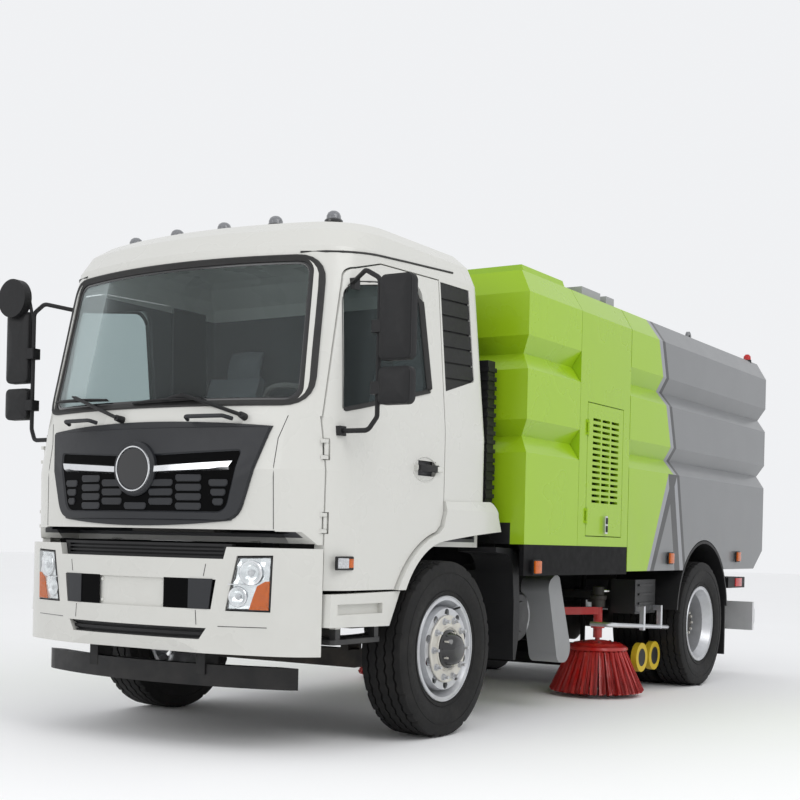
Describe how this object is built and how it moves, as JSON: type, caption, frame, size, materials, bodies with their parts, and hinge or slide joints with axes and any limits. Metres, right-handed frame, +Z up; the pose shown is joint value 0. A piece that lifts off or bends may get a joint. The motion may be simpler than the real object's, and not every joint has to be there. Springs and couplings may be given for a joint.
{
  "type": "street sweeper truck",
  "caption": "Two-axle street sweeper truck with a bowed tilting cab, tipping grooved hopper, two side brushes and a raised suction nozzle.",
  "frame": {"origin": "on the ground at the middle of the vehicle's length and width", "axes": "+Z up, +Y to the rear, +X to the vehicle's left side"},
  "size_m": [2.988, 6.956, 2.9568],
  "materials": {
    "white_paint": "gloss",
    "green_paint": "gloss",
    "silver_paint": "satin",
    "black_paint": "satin",
    "dark_metal": "matte",
    "black_plastic": "matte",
    "lamp_plastic": "gloss",
    "red_paint": "gloss",
    "bright_metal": "polished",
    "wheel_metal": "satin",
    "tyre_rubber": "matte",
    "yellow_rubber": "matte",
    "clear_glass": "clear",
    "seat_cloth": "matte",
    "brown_plastic": "matte"
  },
  "bodies": {
    "chassis": {"chassis_frame": "black_paint", "front_axle": "dark_metal", "rear_axle": "dark_metal", "driveline": "dark_metal", "front_bumper": "white_paint", "bumper_grilles": "black_plastic", "lamps": "lamp_plastic", "underrun_bars": "black_paint", "cab_steps": "white_paint", "mudguards": "black_plastic", "front_module": "green_paint", "middle_module": "green_paint", "auxiliary_engine": "dark_metal", "body_skirts": "black_paint", "roof_hatches": "green_paint", "side_units": "bright_metal", "side_guides": "bright_metal", "air_intake": "black_plastic", "brush_brackets": "black_paint", "nozzle_guides": "black_paint"},
    "cab": {"cab_shell": "white_paint", "windscreen": "clear_glass", "grille_panel": "black_plastic", "side_vents": "black_plastic", "roof_lamps": "lamp_plastic", "seats": "seat_cloth", "dashboard": "brown_plastic"},
    "hopper": {"hopper_shell": "silver_paint"},
    "hopper_door": {"rear_door": "silver_paint"},
    "nozzle": {"suction_nozzle": "black_paint"},
    "nozzle_front_pair": {"nozzle_front_wheels": "yellow_rubber"},
    "nozzle_rear_pair": {"nozzle_rear_wheels": "yellow_rubber"},
    "cab_door_left": {"door_left": "white_paint", "door_glass_left": "clear_glass", "mirrors_left": "black_plastic"},
    "engine_door_left": {"access_door_left": "green_paint"},
    "steering_left": {"knuckle_left": "dark_metal"},
    "front_wheel_left": {"front_tyre_left": "tyre_rubber", "front_rim_left": "wheel_metal"},
    "rear_wheel_left": {"rear_tyres_left": "tyre_rubber", "rear_rims_left": "wheel_metal"},
    "swing_arm_left": {"brush_arm_left": "red_paint"},
    "brush_head_left": {"brush_left": "red_paint"},
    "cab_door_right": {"door_right": "white_paint", "door_glass_right": "clear_glass", "mirrors_right": "black_plastic"},
    "engine_door_right": {"access_door_right": "green_paint"},
    "steering_right": {"knuckle_right": "dark_metal"},
    "front_wheel_right": {"front_tyre_right": "tyre_rubber", "front_rim_right": "wheel_metal"},
    "rear_wheel_right": {"rear_tyres_right": "tyre_rubber", "rear_rims_right": "wheel_metal"},
    "swing_arm_right": {"brush_arm_right": "red_paint"},
    "brush_head_right": {"brush_right": "red_paint"}
  },
  "joints": [
    {"name": "cab_tilt", "type": "hinge", "parent": "chassis", "child": "cab", "pos_m": [0, -3.27, 1], "axis": [1, 0, 0], "range_deg": [0, 45]},
    {"name": "hopper_tip", "type": "hinge", "parent": "chassis", "child": "hopper", "pos_m": [0, 3.11, 1], "axis": [-1, 0, 0], "range_deg": [0, 45]},
    {"name": "rear_door_lift", "type": "hinge", "parent": "hopper", "child": "hopper_door", "pos_m": [0, 3.465, 2.765], "axis": [1, 0, 0], "range_deg": [0, 80]},
    {"name": "nozzle_lift", "type": "slide", "parent": "chassis", "child": "nozzle", "axis": [0, 0, -1], "range_m": [0, 0.145]},
    {"name": "nozzle_front_roll", "type": "hinge", "parent": "nozzle", "child": "nozzle_front_pair", "pos_m": [0, 1.05, 0.272], "axis": [1, 0, 0], "continuous": true},
    {"name": "nozzle_rear_roll", "type": "hinge", "parent": "nozzle", "child": "nozzle_rear_pair", "pos_m": [0, 1.31, 0.272], "axis": [1, 0, 0], "continuous": true},
    {"name": "cab_door_left", "type": "hinge", "parent": "cab", "child": "cab_door_left", "pos_m": [1.028, -3.126, 1.5], "axis": [0, 0, -1], "range_deg": [0, 68]},
    {"name": "engine_door_left", "type": "hinge", "parent": "chassis", "child": "engine_door_left", "pos_m": [1.256, -0.424, 1.6], "axis": [0, 0, -1], "range_deg": [0, 110]},
    {"name": "steer_left", "type": "hinge", "parent": "chassis", "child": "steering_left", "pos_m": [0.86, -2.04, 0.51], "axis": [0, 0, 1], "range_deg": [-36, 36]},
    {"name": "front_roll_left", "type": "hinge", "parent": "steering_left", "child": "front_wheel_left", "pos_m": [1.009, -2.04, 0.51], "axis": [1, 0, 0], "continuous": true},
    {"name": "rear_roll_left", "type": "hinge", "parent": "chassis", "child": "rear_wheel_left", "pos_m": [0.95, 1.92, 0.51], "axis": [1, 0, 0], "continuous": true},
    {"name": "brush_swing_left", "type": "hinge", "parent": "chassis", "child": "swing_arm_left", "pos_m": [0.6, 0.11, 0.64], "axis": [0, 0, -1], "range_deg": [0, 25]},
    {"name": "brush_spin_left", "type": "hinge", "parent": "swing_arm_left", "child": "brush_head_left", "pos_m": [0.88, 0.644, 0.4], "axis": [0, 0, 1], "continuous": true},
    {"name": "cab_door_right", "type": "hinge", "parent": "cab", "child": "cab_door_right", "pos_m": [-1.028, -3.126, 1.5], "axis": [0, 0, 1], "range_deg": [0, 68]},
    {"name": "engine_door_right", "type": "hinge", "parent": "chassis", "child": "engine_door_right", "pos_m": [-1.256, -0.424, 1.6], "axis": [0, 0, 1], "range_deg": [0, 110]},
    {"name": "steer_right", "type": "hinge", "parent": "chassis", "child": "steering_right", "pos_m": [-0.86, -2.04, 0.51], "axis": [0, 0, 1], "range_deg": [-36, 36]},
    {"name": "front_roll_right", "type": "hinge", "parent": "steering_right", "child": "front_wheel_right", "pos_m": [-1.009, -2.04, 0.51], "axis": [1, 0, 0], "continuous": true},
    {"name": "rear_roll_right", "type": "hinge", "parent": "chassis", "child": "rear_wheel_right", "pos_m": [-0.95, 1.92, 0.51], "axis": [1, 0, 0], "continuous": true},
    {"name": "brush_swing_right", "type": "hinge", "parent": "chassis", "child": "swing_arm_right", "pos_m": [-0.6, 0.11, 0.64], "axis": [0, 0, 1], "range_deg": [0, 25]},
    {"name": "brush_spin_right", "type": "hinge", "parent": "swing_arm_right", "child": "brush_head_right", "pos_m": [-0.88, 0.644, 0.4], "axis": [0, 0, 1], "continuous": true}
  ],
  "couplings": [
    {"joint": "steer_right", "follows": "steer_left", "ratio": 1}
  ]
}
